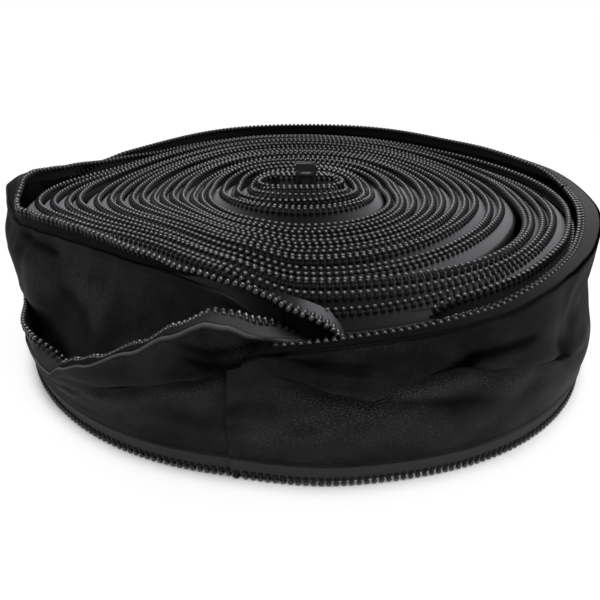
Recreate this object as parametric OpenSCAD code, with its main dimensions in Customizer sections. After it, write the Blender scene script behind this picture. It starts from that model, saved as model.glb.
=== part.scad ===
// Zippered cable sleeve, opened flat and wound up for storage.
// A long leather strip has a zipper tape sewn along each edge. The strip is wound on edge
// into a loose roll that stands on its lower row of teeth. The slider waits on the upper
// row at the inner end, and the outer end can be peeled away from the roll.
// Millimetres. Z is the axis of the roll, the floor is z = 0 and the front is -Y.
// A place on the strip is given in turns from the inner end.

/* [Sleeve] */
// Width of the opened sleeve from tooth tip to tooth tip
sleeve_w = 101.6; // [94:0.1:140]
// Thickness of the leather
leather_t = 1.2; // [0.8:0.1:1.6]
// Long leather panels, sewn end to end
panel_count = 9; // [9:1:9]
// Length of the short panel that ends the strip
end_panel_len = 300; // [240:5:340]

/* [Roll] */
// Radial step from one turn to the next
wrap_pitch = 6.85; // [6.4:0.05:9]
// Whole turns in the roll
whole_turns = 24; // [22:1:27]
// Angle of the outer end, from the front towards the right
end_angle = -12; // [-30:1:0]
// Half depth of the flattened core
core_r = 12; // [11.5:0.1:15]
// Half length of the straight runs of the core
core_run = 15; // [14:0.5:18]
// Straight run of the inner end
inner_run = 16; // [15:0.5:18]

/* [Slump] */
// Share of the width that the outer turn has sunk by at the left
left_slump = 0.58; // [0.3:0.01:0.6]
// Share of the width that the second turn has sunk by at the front
front_slump = 0.27; // [0.1:0.01:0.28]
// Share of the width that the inner turns have sunk by at the front
inner_slump = 0.09; // [0.02:0.01:0.1]
// How far the outer leather bulges out above its crease
bulge = 6; // [2:0.5:7]
// How far the second turn leans inwards at the left of the front
lean = 17; // [8:0.5:17]
// How far the second turn leans inwards at the front
front_lean = 2.5; // [0:0.1:2.5]

/* [Zipper] */
// Spacing of the teeth along the tape
tooth_pitch = 3.7; // [3.5:0.05:4.5]
// Width of a tooth along the tape
tooth_w = 2.4; // [2:0.05:2.7]
// Width of the neck of a tooth
neck_w = 1.5; // [1.2:0.05:1.8]
// Thickness of a tooth across the tape
tooth_t = 3; // [2.6:0.05:3.3]
// Reach of a tooth past the edge of the tape
tooth_reach = 2.6; // [2:0.1:3]
// Grip of a tooth over the tape
tooth_grip = 1.8; // [1.4:0.1:2.4]
// Thickness of the tape
tape_t = 0.7; // [0.5:0.05:0.9]
// Tape seen between the leather and the edge of the tape
tape_show = 9.4; // [7:0.1:11]
// Tape sewn behind the leather
tape_lap = 6; // [4:0.5:8]
// Play of a tooth on each side of the tape
tooth_play = 0.12; // [0.08:0.01:0.15]
// Room between the edge of a sunken tape and the seat in its teeth
edge_gap = 0.42; // [0.36:0.01:0.5]
// Length of an end stop along the tape
stop_len = 2.5; // [2:0.1:3.5]

/* [Slider] */
// Length of the slider along the zipper
slider_len = 14; // [12:0.5:15]
// Thickness of the slider plates
plate_t = 1.3; // [1:0.1:1.4]
// Half width of the wedge that parts the two rows
wedge_half = 0.8; // [0.6:0.1:1.2]
// Thickness of the slider flanges
flange_t = 0.9; // [0.7:0.1:1.2]
// Play of the teeth in the slider
slider_play = 0.3; // [0.2:0.05:0.5]
// Place of the slider along the straight run
slider_x = 4; // [3:0.5:6]
// Radius of the bar that carries the pull tab
bar_r = 0.9; // [0.7:0.05:1.1]
// Room between the plate and the bar
bar_gap = 1; // [0.9:0.05:1.2]

/* [Pull tab] */
// Length of the pull tab from the bar to its tip
tab_len = 18; // [14:0.5:18]
// Width of the pull tab
tab_w = 6; // [5:0.1:6.4]
// Thickness of the pull tab
tab_t = 1.4; // [1:0.1:1.6]
// Radial play of the pull tab on its bar
bar_play = 0.08; // [0.05:0.01:0.1]
// Radius of the cord hole near the tip
cord_hole_r = 1.3; // [0.8:0.1:1.6]

/* [Free end] */
// Angle at the front where the free end starts to peel
peel_angle = 24; // [18:1:34]
// Gap between the roll and the free end
peel_gap = 0.6; // [0.4:0.1:1]
// Gap between pieces sewn together
sew_gap = 0.05; // [0:0.01:0.1]

/* [Hidden] */
turns = whole_turns + (180 - end_angle) / 360;
// Straight steps per turn in the inner, middle and outer turns
inner_steps = 18;
middle_steps = 22;
outer_steps = 44;
middle_from = floor(turns) - 8;
outer_from = floor(turns) - 2;
// Loose places in the winding: turns in from the outside, extra room, angle
loose_places = [
  [1.55, 9, 180], [4.5, 4, 0], [8.55, 8, 12], [18.5, 22, 0], [21, 11, 0], [22.7, 11, 0]
];
// Extra room for the middle turns at the front
front_room = 6;
// Flats and swells of the outline: angle, share of the radius
outline_swells = [
  [-150, 0.022], [-120, -0.095], [-90, 0.035], [-60, 0.012], [-30, 0.02], [0, -0.008],
  [30, 0.035], [60, 0.038], [90, 0.022], [120, -0.06], [150, 0.02], [180, 0.07]
];
// Half width of a swell in degrees
swell_half = 50;
// How far the upper edge has sunk at the left, as a share of left_slump, against the
// degrees run back from the outer end
left_sunk = [
  [262, 0], [274, 0.07], [282, 0.29], [291, 0.52], [304, 0.71], [314, 0.8], [322, 1],
  [329, 0.9], [336, 0.72], [347, 0.41], [354, 0.19], [362, 0]
];
// The same at the front, as a share of front_slump: outer, second and third turn
front_sunk = [
  [0, 1.04], [4, 0.7], [7, 0.55], [12, 0.45], [20, 0.33], [28, 0.28], [40, 0.19],
  [49, 0.13], [60, 0], [354, 0], [362, 0.1], [367, 0.33], [372, 0.46], [379, 0.93],
  [385, 1], [397, 0.7], [408, 0.41], [425, 0.15], [440, 0], [722, 0], [727, 0.11],
  [732, 0.41], [737, 0.67], [742, 0.87], [757, 0.63], [768, 0.37], [785, 0.11], [800, 0]
];
// How far the upper edge of the outer turns leans out
edge_out = [
  [0, 0], [7, 2], [40, 2], [54, 0], [69, -3], [85, -3], [110, -2], [150, 0], [195, 1],
  [240, 0], [260, 2], [270, 8], [276, 9], [284, 5], [292, 2], [304, 1.5], [316, 4], [325, 3],
  [347, 1.5], [362, 0], [480, 0], [600, 0], [640, 4], [664, 4], [676, 0]
];
// How far the second turn leans inwards at the left of the front, as a share of lean
second_in = [
  [664, 0], [676, 0.4], [691, 0.9], [699, 1], [713, 0.64], [724, 0.22], [732, 0.02], [736, 0]
];
// How far the second and third turns lean inwards at the front, as a share of front_lean
front_in = [
  [360, 0], [372, 0.8], [420, 0.8], [480, 0.2], [500, 0], [715, 0], [732, 0.55], [780, 0.6],
  [840, 0.2], [860, 0]
];
// How far the inner turns lean at the left, as a share of lean, against whole turns
inner_lean = [[0, 0], [0.6, 0.24], [3.6, 0.57], [4.5, 0.79], [6.6, 1]];
// Degrees back where the inner turns start to follow one rule, and the room for the change
inner_rule = [830, 170];
// Sunken front of the inner turns: where it starts and its rise, where it ends and its fall
sunken_front = [-14, 13, 8, 62];
// Extra sunken share of the third turn, which fades towards the inside over this many turns
third_extra = [0.67, 2.9, 1.2];
// Share of the bulge that reaches the upper edge, and share at its fullest row
bulge_shares = [0.35, 0.8];
// Crease round the outer turn: angle, share of the width
crease_line = [
  [-60, 0.3], [-40, 0.34], [-23, 0.48], [-10, 0.64], [0, 0.62], [10, 0.51], [22, 0.63],
  [33, 0.55], [49, 0.38], [62, 0.3]
];
// Rise from the crease to the fullest place of the bulge
crease_rise = 5;
// Cut of the upper corner of the free end, in degrees
corner_cut = 7;
hem_up = tooth_reach + tape_show;
band_in = -tooth_t / 2;
band_out = tooth_t / 2;
leather_in = tape_t / 2 + sew_gap;
leather_out = leather_in + leather_t;
tooth_z = tooth_reach + tooth_grip;
inner_u = -inner_run / (2 * PI * core_r);
// Where the joined teeth of the inner turns start
inner_teeth_u = 0.045;
peel_u = turns - (peel_angle - end_angle) / 360;
peel_step = peel_gap / 2 / (2 * PI * (core_r + wrap_pitch * turns));
corner_u = turns - corner_cut / 360;
roll_len = length_at(turns);
panel_len = (roll_len - end_panel_len) / panel_count;
// First panel that follows the sunken edge
soft_panel_first = 1 + max([for (k = [0 : panel_count]) seam(k) < middle_from ? k : 0]);

slider_mid = sleeve_w + wedge_half + 0.2;
slider_half = slider_mid - (sleeve_w - tooth_z - slider_play) + flange_t;
plate_in = tooth_t / 2 + slider_play;
plate_out = plate_in + plate_t;
bar_out = plate_out + bar_gap + bar_r;
bail_half = tab_w / 2 + 0.4;
bail_post = 1.6;

// Strip length from the start of the winding to a place in turns
function length_at(u) = 2 * PI * (core_r * u + wrap_pitch * u * u / 2);
// Place in turns after a given strip length
function turns_at(s) = (sqrt(core_r * core_r + wrap_pitch * s / PI) - core_r) / wrap_pitch;
// Seam between two panels, moved to the nearest station of the winding
function seam(k) = k == 0 ? inner_u : snap(turns_at(k * panel_len));
function snap(u) = round(u * step_count(u)) / step_count(u);
function step_count(u) =
  u < middle_from ? inner_steps : u < outer_from ? middle_steps : outer_steps;

function held(x) = min(1, max(0, x));
function eased(x) = let(h = held(x)) h * h * (3 - 2 * h);
// Signed difference of two angles, -180 to 180
function turn_to(a, b) = let(d = a - b) d - 360 * round(d / 360);
// Smooth hump, 1 at the middle and 0 beyond the half widths
function hump(d, low, high) =
  let(w = d < 0 ? low : high) abs(d) >= w ? 0 : (1 + cos(180 * d / w)) / 2;
function summed(list, i = 0) = i >= len(list) ? 0 : list[i] + summed(list, i + 1);

// Angle from the front towards the right
function angle(u) = u < 0 ? 180 : 180 - 360 * u;
// Angle run back from the outer end
function run_back(u) = 360 * (turns - u);

// Share of the sunken front, which runs from the left of the front to the right
function front_share(u) =
  let(a = turn_to(angle(u), 0))
  eased((a - sunken_front[0]) / sunken_front[1])
    * (1 - eased((a - sunken_front[2]) / sunken_front[3]));

// Radius of the middle of the teeth
function radius(u) =
  let(
    a = angle(u),
    share = u / turns,
    loose = summed([for (g = loose_places)
      g[1] * pow(max(0, cos(turn_to(a, g[2]))), 2)
        * (eased((u - turns + g[0]) / 0.9 + 0.5) - share)]),
    room = front_room * pow(max(0, cos(a)), 2) * 4 * share * (1 - share),
    swell = summed([for (s = outline_swells)
      s[1] * hump(turn_to(a, s[0]), swell_half, swell_half)])
  )
  (core_r + wrap_pitch * u + (loose + room) * held(u / 3)) * (1 + swell * share * share);

// Middle of the teeth in plan; the inner turns are flattened front to back
function middle(u) = stepped(u, function(v) wound_middle(v));
function wound_middle(u) =
  u < 0 ? [2 * PI * core_r * u, core_r]
  : let(a = angle(u), r = radius(u), s = sin(a), run = core_run * exp(-u / 8))
    [r * s + run * flat_run(3 * s), -r * cos(a)];
function flat_run(x) = (exp(x) - exp(-x)) / (exp(x) + exp(-x));

// Value of a function on the straight step between two stations
function stepped(u, f) =
  u < 0 ? f(u)
  : let(
      n = step_count(u),
      a = floor(u * n + 0.001) / n,
      t = (u - a) * n
    )
    t < 0.01 ? f(a) : f(a) * (1 - t) + f(a + 1 / n) * t;

// Point a given way out from the middle of the teeth, at height z
function placed(u, out, z) =
  let(m = stepped(u, function(v) wound_middle(v) + out * [sin(angle(v)), -cos(angle(v))]))
  [m[0], m[1], z];

// How much of the inner rule holds, and how deep in the roll a place lies
function inner_share(u) = eased((run_back(u) - inner_rule[0]) / inner_rule[1]);
function depth_share(u) = held((u - middle_from) / (outer_from - middle_from));

// Height of the upper tooth tips
function top_edge(u) = stepped(u, function(v) sunken_edge(v));
function sunken_edge(u) =
  let(
    b = run_back(u),
    outer = left_slump * lookup(b, left_sunk) + front_slump * lookup(b, front_sunk),
    extra = third_extra[0] * exp((third_extra[1] - turns + u) / third_extra[2]),
    inner = inner_slump * depth_share(u) * (1 + extra) * front_share(u),
    t = inner_share(u)
  )
  sleeve_w * (1 - outer * (1 - t) - inner * t);

// How far the leather bulges out above its crease
function bulge_at(u) =
  let(b = run_back(u), a = turn_to(angle(u), 0))
  b < 100 ? bulge * eased((b - 4) / 12) * (1 - eased((a - 25) / 40))
  : b > 300 ? bulge * eased((a + 46) / 24) * (1 - eased((b - 345) / 10))
  : 0;

// How far the upper edge leans, out being positive
function lean_at(u) = stepped(u, function(v) leaning(v));
function leaning(u) =
  let(
    b = run_back(u),
    outer = lookup(b, edge_out) - lean * lookup(b, second_in)
      - front_lean * lookup(b, front_in) + bulge_shares[0] * bulge_at(u),
    inner = -lean * lookup(u - middle_from, inner_lean) * hump(turn_to(angle(u), -34), 46, 40)
      - 0.7 * front_lean * depth_share(u) * front_share(u),
    t = inner_share(u)
  )
  outer * (1 - t) + inner * t;

// Stations along the winding from u0 to u1
function stations(u0, u1) =
  concat(
    [u0],
    even_steps(0, middle_from, inner_steps, u0, u1),
    even_steps(middle_from, outer_from, middle_steps, u0, u1),
    even_steps(outer_from, turns, outer_steps, u0, u1),
    [u1]
  );
// Even steps from one whole turn up to the next kind of step, kept inside u0 and u1
function even_steps(from, to, steps, u0, u1) =
  let(e = 0.0005)
  [for (i = [0 : ceil((to - from) * steps) - 1]) let(u = from + i / steps)
    if (u > u0 + e && u < u1 - e) u];

// Straight sided wall that follows the winding
module wall(u0, u1, in, out, z0, z1) {
  us = stations(u0, u1);
  n = len(us);
  outline = concat(
    [for (i = [0 : n - 1]) let(p = placed(us[i], out, 0)) [p[0], p[1]]],
    [for (i = [n - 1 : -1 : 0]) let(p = placed(us[i], in, 0)) [p[0], p[1]]]
  );
  translate([0, 0, z0])
    linear_extrude(z1 - z0)
      polygon(outline);
}

// Wall with its own section at every station; a section is a list of [out, z]
module draped(u0, u1, section) {
  us = stations(u0, u1);
  n = len(us);
  rings = [for (u = us) [for (q = section(u)) placed(u, q[0], q[1])]];
  m = len(rings[0]);
  points = [for (r = rings) each r];
  sides = [for (i = [0 : n - 2], j = [0 : m - 1])
    let(k = (j + 1) % m, a = i * m + j, b = i * m + k)
    each [[a, b + m, b], [a, a + m, b + m]]];
  // The first half of a section faces the second half, so each end is closed in rungs
  last = (n - 1) * m;
  ends = [for (i = [0 : m / 2 - 2]) let(f = m - 1 - i)
    each [
      [i, f - 1, f], [i, i + 1, f - 1],
      [last + i, last + f, last + f - 1], [last + i, last + f - 1, last + i + 1]
    ]];
  polyhedron(points, concat(sides, ends));
}

// Section of the leather of a sunken turn, between the two hems. It is upright where it is
// lapped over a tape; full sections have a crease with a bulge above it.
function leather_section(u, full) =
  let(
    high = top_edge(u) - hem_up,
    low = hem_up + tape_lap,
    tall = high - tape_lap - low,
    t = lean_at(u),
    crease = sleeve_w * lookup(turn_to(angle(u), 0), crease_line),
    fold = min(0.8, max(0.15, (crease - low) / tall)),
    ridge = min(0.92, fold + crease_rise / tall),
    rows = full
      ? [[hem_up, 0], [low, 0], [low + fold * tall, t * out_share(fold)],
         [low + ridge * tall, t * out_share(ridge) + bulge_shares[1] * bulge_at(u)],
         [high - tape_lap, t], [high, t]]
      : [[hem_up, 0], [low, 0], [high - tape_lap, t], [high, t]]
  )
  concat(
    [for (r = rows) [leather_out + r[1], r[0]]],
    [for (i = [len(rows) - 1 : -1 : 0]) let(r = rows[i]) [leather_in + r[1], r[0]]]
  );
// Share of the lean at a share of the height
function out_share(x) = 0.6 * eased(x) + 0.4 * held(x);
// Section of a strip along the upper edge, from below to above the tooth tips
function edge_section(u, in, out, below, above) =
  let(t = lean_at(u), z = top_edge(u))
  [[t + out, z - below], [t + out, z - above], [t + in, z - above], [t + in, z - below]];

module soft_panel(u0, u1) {
  full = u1 > turns - 1.5;
  draped(u0, u1, function(u) leather_section(u, full));
}

module panel(k) {
  color("#2a2a2b")
    if (seam(k) < middle_from)
      wall(seam(k - 1), seam(k), leather_in, leather_out, hem_up, sleeve_w - hem_up);
    else
      soft_panel(seam(k - 1), seam(k));
}

module sleeve_panel_1() { panel(1); }
module sleeve_panel_2() { panel(2); }
module sleeve_panel_3() { panel(3); }
module sleeve_panel_4() { panel(4); }
module sleeve_panel_5() { panel(5); }
module sleeve_panel_6() { panel(6); }
module sleeve_panel_7() { panel(7); }
module sleeve_panel_8() { panel(8); }
module sleeve_panel_9() { panel(9); }

module end_panel() {
  color("#2a2a2b")
    soft_panel(seam(panel_count), peel_u - peel_step);
}

// The last piece of the end panel, with its upper corner cut away
module free_end_panel() {
  color("#2a2a2b")
    draped(peel_u + peel_step, turns, function(u) leather_section(u, true));
}

module upper_tape_inner_turns() {
  color("#3a3a3c")
    wall(inner_u, seam(soft_panel_first - 1), -tape_t / 2, tape_t / 2,
      sleeve_w - hem_up - tape_lap, sleeve_w - tooth_reach);
}

module upper_tape_outer_turns() {
  color("#3a3a3c")
    draped(seam(soft_panel_first - 1), peel_u - peel_step, function(u)
      edge_section(u, -tape_t / 2, tape_t / 2, hem_up + tape_lap, tooth_reach + edge_gap));
}

module lower_tape() {
  color("#3a3a3c")
    wall(inner_u, peel_u - peel_step, -tape_t / 2, tape_t / 2,
      tooth_reach, hem_up + tape_lap);
}

module free_end_upper_tape() {
  color("#3a3a3c")
    draped(peel_u + peel_step, corner_u, function(u)
      edge_section(u, -tape_t / 2, tape_t / 2, hem_up + tape_lap, tooth_reach + edge_gap));
}

module free_end_lower_tape() {
  color("#3a3a3c")
    wall(peel_u + peel_step, turns, -tape_t / 2, tape_t / 2, tooth_reach, hem_up + tape_lap);
}

// One tooth, with its tip at the origin and its grip below: x along the tape, y across it.
// On a sloping edge it stays upright and rises by the slope along the tape.
module tooth(slope = 0) {
  neck_z = tooth_reach * 0.6;
  seat_z = tooth_z - tooth_grip - sew_gap;
  difference() {
    across(tooth_t)
      polygon(sloped([
        [-tooth_w / 2, -tooth_z], [tooth_w / 2, -tooth_z], [neck_w / 2, -neck_z],
        [tooth_w / 2, 0], [-tooth_w / 2, 0], [-neck_w / 2, -neck_z]
      ], slope));
    across(tape_t + 2 * tooth_play)
      polygon(sloped([
        [-tooth_w, -tooth_z - 1], [tooth_w, -tooth_z - 1], [tooth_w, -seat_z], [-tooth_w, -seat_z]
      ], slope));
  }
}
function sloped(points, slope) = [for (p = points) [p[0], p[1] + slope * p[0]]];
module across(thick) {
  rotate([90, 0, 0])
    linear_extrude(thick, center = true)
      children();
}

// Tip of a tooth on the upper or lower edge
function tip(u, upper) =
  stepped(u, function(v)
    let(m = wound_middle(v), a = angle(v), out = upper ? leaning(v) : 0)
    [m[0] + out * sin(a), m[1] - out * cos(a), upper ? sunken_edge(v) : 0]);

// Teeth at even steps along one edge, from u0 to u1; none stands astride a bend of the tape
module tooth_row(u0, u1, upper) {
  us = stations(u0, u1);
  for (i = [0 : len(us) - 2]) {
    p = tip(us[i], upper);
    v = tip(us[i + 1], upper) - p;
    run = norm([v[0], v[1]]);
    n = round(norm(v) / tooth_pitch);
    if (n > 0)
      translate(p)
        rotate([0, 0, atan2(v[1], v[0])])
          for (t = [0.5 / n : 1 / n : 1])
            translate([run * t, 0, v[2] * t])
              mirror([0, 0, upper ? 0 : 1])
                tooth(v[2] / run);
  }
}

module upper_teeth_inner_end() {
  color("#1c1c1e")
    inner_teeth(true);
}
module lower_teeth_inner_end() {
  color("#1c1c1e")
    inner_teeth(false);
}
// Teeth along the straight run, counted from the end stop
module inner_teeth(upper) {
  first = -inner_run + stop_len + tooth_pitch / 2;
  last = core_run - 2;
  next = middle(1 / inner_steps);
  slope = (next[1] - core_r) / next[0];
  for (x = [first : tooth_pitch : last])
    translate([x, core_r + slope * max(0, x), upper ? sleeve_w : 0])
      rotate([0, 0, x < 0 ? 0 : atan(slope)])
        mirror([0, 0, upper ? 0 : 1])
          tooth();
}

module upper_teeth_inner_turns() {
  color("#1c1c1e")
    wall(inner_teeth_u, seam(soft_panel_first - 1), band_in, band_out, sleeve_w - tooth_reach, sleeve_w);
}

module upper_teeth_middle_turns() {
  color("#1c1c1e")
    draped(seam(soft_panel_first - 1), turns - 1, function(u)
      edge_section(u, band_in, band_out, tooth_reach, 0));
}

module lower_teeth_inner_turns() {
  color("#1c1c1e")
    wall(inner_teeth_u, turns - 1, band_in, band_out, 0, tooth_reach);
}

module upper_teeth_outer_turn() {
  color("#1c1c1e")
    tooth_row(turns - 0.998, peel_u - peel_step, true);
}

module lower_teeth_outer_turn() {
  color("#1c1c1e")
    tooth_row(turns - 0.998, peel_u - peel_step, false);
}

module upper_teeth_free_end() {
  color("#1c1c1e")
    tooth_row(peel_u + peel_step, corner_u - stop_len / (2 * PI * radius(turns)), true);
}

module lower_teeth_free_end() {
  color("#1c1c1e")
    tooth_row(peel_u + peel_step, turns - stop_len / (2 * PI * radius(turns)), false);
}

// End stop, clamped on the tape like a longer tooth; it runs along +x from x
module stop(x, slope = 0) {
  x1 = x + stop_len - 0.3;
  seat_z = tooth_z - tooth_grip - sew_gap;
  difference() {
    across(tooth_t)
      polygon(sloped([[x, -tooth_z], [x1, -tooth_z], [x1, -0.4], [x, -0.4]], slope));
    across(tape_t + 2 * tooth_play)
      polygon(sloped([
        [x - 1, -tooth_z - 1], [x1 + 1, -tooth_z - 1], [x1 + 1, -seat_z], [x - 1, -seat_z]
      ], slope));
  }
}

module inner_upper_stop() {
  color("#141415")
    translate([-inner_run, core_r, sleeve_w])
      stop(0.2);
}
module inner_lower_stop() {
  color("#141415")
    translate([-inner_run, core_r, 0])
      mirror([0, 0, 1])
        stop(0.2);
}

// Stop that closes a row at its outer end u
module outer_stop(u, upper) {
  d = 0.4 / outer_steps;
  v = tip(u, upper) - tip(u - d, upper);
  translate(tip(u, upper))
    rotate([0, 0, atan2(v[1], v[0])])
      mirror([0, 0, upper ? 0 : 1])
        stop(0.1 - stop_len, v[2] / norm([v[0], v[1]]));
}
module outer_upper_stop() {
  color("#141415")
    outer_stop(corner_u, true);
}
module outer_lower_stop() {
  color("#141415")
    outer_stop(turns, false);
}

// Slider: two plates with turned in flanges, a wedge between them and a bail on the front
module slider_body() {
  color("#202022")
    translate([slider_x, core_r, slider_mid]) {
      for (side = [-1, 1])
        plate(side);
      wedge();
      bail();
    }
}
module plate_outline() {
  l = slider_len / 2;
  h = slider_half;
  polygon([
    [-l, -h], [l - 3, -h], [l, -h * 0.82], [l, h * 0.82], [l - 3, h], [-l, h],
    [-l, 3.2], [1.2 - l, 1.6], [1.2 - l, -1.6], [-l, -3.2]
  ]);
}
module plate(side) {
  rotate([90, 0, 0])
    translate([0, 0, side > 0 ? -plate_out : plate_in])
      linear_extrude(plate_t)
        plate_outline();
  for (edge = [-1, 1])
    translate([
      -slider_len / 2,
      side > 0 ? tape_t / 2 + slider_play : -plate_in,
      edge > 0 ? slider_half - flange_t : -slider_half
    ])
      cube([slider_len - 3, plate_in - tape_t / 2 - slider_play, flange_t]);
}
module wedge() {
  rotate([90, 0, 0])
    translate([0, 0, -plate_in])
      linear_extrude(2 * plate_in)
        polygon([
          [1.2 - slider_len / 2, -wedge_half], [2.4 - slider_len / 2, -wedge_half],
          [0, -0.3], [0, 0.3], [2.4 - slider_len / 2, wedge_half],
          [1.2 - slider_len / 2, wedge_half]
        ]);
}
module bail() {
  for (x = [-bail_half - bail_post, bail_half])
    translate([x, -bar_out - bar_r, -1.1])
      cube([bail_post, bar_out + bar_r - plate_out + 0.2, 2.2]);
  translate([-bail_half - 0.2, -bar_out, 0])
    rotate([0, 90, 0])
      cylinder(r = bar_r, h = 2 * bail_half + 0.4, $fn = 64);
}

// Pull tab: a flat plate hung by its eye on the bar of the bail
module pull_tab() {
  eye = bar_r + bar_play;
  color("#202022")
    translate([slider_x, core_r - bar_out, slider_mid])
      difference() {
        union() {
          rotate([0, 90, 0])
            cylinder(r = eye + 0.75, h = tab_w, center = true, $fn = 64);
          translate([-tab_w / 2, -tab_t / 2, -tab_len + tab_w / 2])
            cube([tab_w, tab_t, tab_len - tab_w / 2 - eye]);
          translate([0, 0, -tab_len + tab_w / 2])
            rotate([90, 0, 0])
              cylinder(r = tab_w / 2, h = tab_t, center = true, $fn = 64);
        }
        rotate([0, 90, 0])
          cylinder(r = eye, h = tab_w + 2, center = true, $fn = 64);
        translate([0, 0, -tab_len + tab_w / 2])
          rotate([90, 0, 0])
            cylinder(r = cord_hole_r, h = tab_t + 2, center = true, $fn = 64);
      }
}

sleeve_panel_1();
sleeve_panel_2();
sleeve_panel_3();
sleeve_panel_4();
sleeve_panel_5();
sleeve_panel_6();
sleeve_panel_7();
sleeve_panel_8();
sleeve_panel_9();
end_panel();
upper_tape_inner_turns();
upper_tape_outer_turns();
lower_tape();
upper_teeth_inner_end();
upper_teeth_inner_turns();
upper_teeth_middle_turns();
upper_teeth_outer_turn();
lower_teeth_inner_end();
lower_teeth_inner_turns();
lower_teeth_outer_turn();
inner_upper_stop();
inner_lower_stop();
free_end_panel();
free_end_upper_tape();
free_end_lower_tape();
upper_teeth_free_end();
lower_teeth_free_end();
outer_upper_stop();
outer_lower_stop();
slider_body();
pull_tab();
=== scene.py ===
"""Looks of a zippered cable sleeve that was opened flat and wound on edge into a loose roll.

The strip is leather with a woven zipper tape along each long edge and moulded teeth on the
tapes. Every piece is a section carried along the winding. A place along the strip is given
in turns from its inner end, and "back" is the angle wound back from its outer end.
"""

import math

import bpy
import numpy as np
from bpy.props import FloatProperty, FloatVectorProperty, IntProperty, PointerProperty
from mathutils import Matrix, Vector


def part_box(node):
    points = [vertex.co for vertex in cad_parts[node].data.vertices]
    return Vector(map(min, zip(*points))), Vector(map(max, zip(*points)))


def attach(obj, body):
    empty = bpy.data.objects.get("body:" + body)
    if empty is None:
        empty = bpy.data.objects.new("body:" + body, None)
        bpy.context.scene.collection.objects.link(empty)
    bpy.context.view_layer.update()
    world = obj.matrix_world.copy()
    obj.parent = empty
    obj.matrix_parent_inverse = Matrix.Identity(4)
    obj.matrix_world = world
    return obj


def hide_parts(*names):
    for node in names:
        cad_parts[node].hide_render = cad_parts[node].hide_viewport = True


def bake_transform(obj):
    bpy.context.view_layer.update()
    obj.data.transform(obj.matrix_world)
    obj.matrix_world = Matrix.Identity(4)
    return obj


bl_info = {
    "name": "Zippered Cable Sleeve",
    "version": (1, 0, 0),
    "blender": (4, 5, 0),
    "location": "3D View > Sidebar > Sleeve",
    "description": "Builds the leather, zipper and stage of a wound cable sleeve",
    "category": "Object",
}

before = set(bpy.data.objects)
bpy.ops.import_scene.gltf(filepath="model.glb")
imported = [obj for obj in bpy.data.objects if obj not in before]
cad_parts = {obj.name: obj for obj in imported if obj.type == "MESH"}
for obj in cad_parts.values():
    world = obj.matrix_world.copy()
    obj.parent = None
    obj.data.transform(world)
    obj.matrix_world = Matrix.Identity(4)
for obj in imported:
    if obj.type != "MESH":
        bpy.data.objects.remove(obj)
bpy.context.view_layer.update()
MM = 0.001
STRIP_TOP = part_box("upper_teeth_inner_turns")[1].z


def linear(code):
    """Linear colour of an sRGB hex code: the low end is a straight line, the rest a power."""
    c = np.array([int(code[i:i + 2], 16) for i in (1, 3, 5)]) / 255
    return tuple(np.where(c <= 0.04045, c / 12.92, ((c + 0.055) / 1.055) ** 2.4)) + (1.0,)


def length_prop(name, description, default):
    return FloatProperty(
        name=name, description=description, default=default, unit="LENGTH", min=0.0, precision=5
    )


def colour_prop(name, description, code):
    return FloatVectorProperty(
        name=name, description=description, default=linear(code), subtype="COLOR", size=4,
        min=0.0, max=1.0,
    )


class SleeveSizes(bpy.types.PropertyGroup):
    """Sizes of the strip and of its zipper."""

    width: length_prop("Width", "Opened sleeve from tooth tip to tooth tip", STRIP_TOP)
    leather: length_prop("Leather", "Thickness of the leather", 1.2 * MM)
    tape: length_prop("Tape", "Thickness of the zipper tape", 0.7 * MM)
    tape_show: length_prop("Tape shown", "Tape between the leather and the tape's edge", 9.4 * MM)
    tape_lap: length_prop("Tape lap", "Tape sewn behind the leather", 6 * MM)
    pitch: length_prop("Tooth pitch", "Spacing of the teeth along the tape", 3.7 * MM)
    tooth_w: length_prop("Tooth width", "Width of a tooth along the tape", 2.5 * MM)
    tooth_t: length_prop("Tooth thickness", "Thickness of a tooth across the tape", 3 * MM)
    reach: length_prop("Tooth reach", "Reach of a tooth past the tape", 2.6 * MM)
    grip: length_prop("Tooth grip", "Grip of a tooth over the tape", 1.8 * MM)
    stitch: length_prop("Stitch", "Spacing of the stitches", 3.4 * MM)


class RollShape(bpy.types.PropertyGroup):
    """How the strip is wound."""

    turns: FloatProperty(name="Turns", description="Turns of the winding", default=24 + 192 / 360)
    panels: IntProperty(name="Panels", description="Long leather panels", default=9, min=1)
    end_len: length_prop("End panel", "Length of the short panel that ends the strip", 300 * MM)
    step: length_prop("Turn step", "Radial step from one turn to the next", 6.85 * MM)
    core: length_prop("Core", "Half depth of the flattened core", 12 * MM)
    core_run: length_prop("Core run", "Half length of the straight runs of the core", 15 * MM)
    inner_run: length_prop("Inner run", "Straight run of the inner end", 16 * MM)


class SleeveColours(bpy.types.PropertyGroup):
    """Colours of the finishes."""

    leather: colour_prop("Leather", "Dyed split leather", "#0c0c0d")
    # Colour of the paler upper hem edges and of the dusty specks
    pale_marks: colour_prop("Worn edge", "Leather rubbed along its hems", "#606062")
    tape: colour_prop("Tape", "Woven tape", "#3c3c3e")
    teeth: colour_prop("Teeth", "Moulded teeth", "#262629")
    thread: colour_prop("Thread", "Sewing thread", "#0d0d0e")
    metal: colour_prop("Slider", "Painted slider", "#2a2a2c")
    floor: colour_prop("Floor", "Studio floor", "#f4f4f4")


def sizes():
    return bpy.context.scene.sleeve_sizes


def roll():
    return bpy.context.scene.sleeve_roll


def colours():
    return bpy.context.scene.sleeve_colours


# Shape of the winding

# Loose places: turns in from the outside, extra room, angle from the front to the right
LOOSE = ((1.55, 9, 180), (4.5, 4, 0), (8.55, 8, 12), (18.5, 22, 0), (21.0, 11, 0), (22.7, 11, 0))
# Extra radius of the middle turns at the front
FRONT_FULL = 6
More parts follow.
